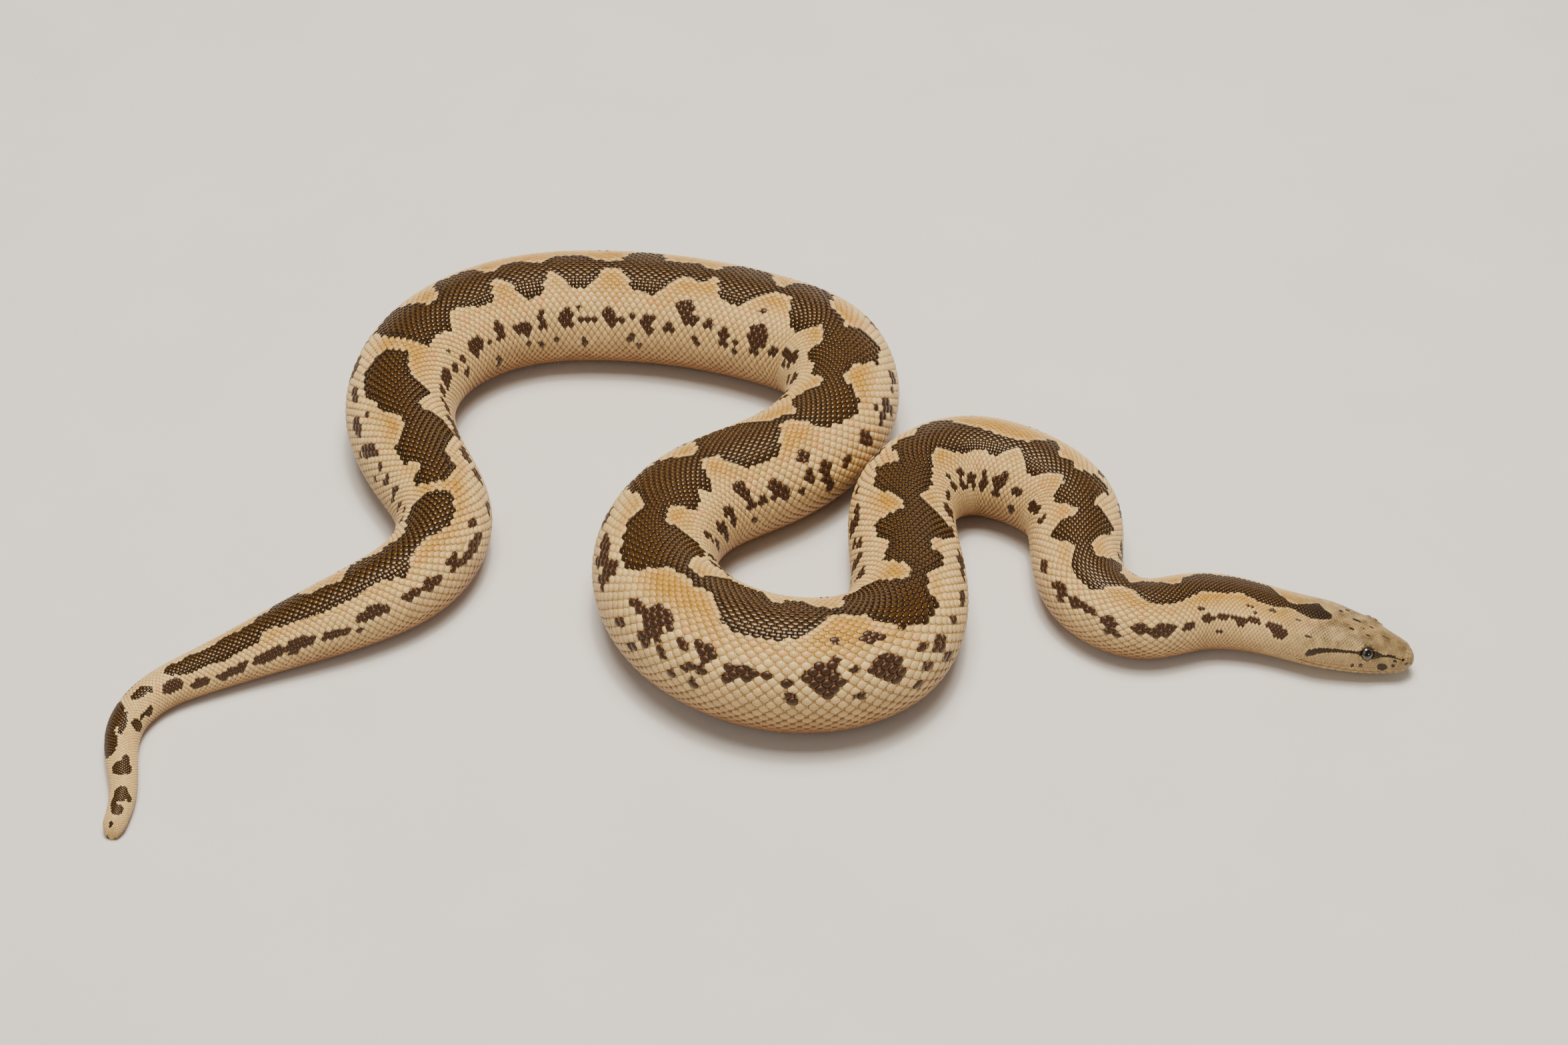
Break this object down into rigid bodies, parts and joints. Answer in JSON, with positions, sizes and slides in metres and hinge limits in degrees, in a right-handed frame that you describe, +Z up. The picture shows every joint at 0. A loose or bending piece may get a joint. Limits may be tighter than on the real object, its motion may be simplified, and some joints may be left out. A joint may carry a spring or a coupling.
{
  "type": "rough-scaled sand boa",
  "caption": "Still life-size sand boa lying in loose flat coils, belly on the floor, blunt tail at one end and small wedge-shaped head with closed mouth at the other.",
  "frame": {"origin": "on the floor, under the middle of the resting body's box", "axes": "+X along the length of the coils towards the head's side, +Y towards the far coil, +Z up"},
  "size_m": [0.2568, 0.1551, 0.0245],
  "materials": {
    "skin": "small smooth scales, satin",
    "eye": "clear wet gloss over a dark slit pupil"
  },
  "bodies": {
    "root": {"tail": "skin", "trunk_01": "skin", "trunk_02": "skin", "trunk_03": "skin", "trunk_04": "skin", "trunk_05": "skin", "trunk_06": "skin", "trunk_07": "skin", "trunk_08": "skin", "trunk_09": "skin", "trunk_10": "skin", "neck": "skin", "head": "skin", "lower_jaw": "skin", "eye_left": "eye", "eye_right": "eye"}
  },
  "joints": []
}
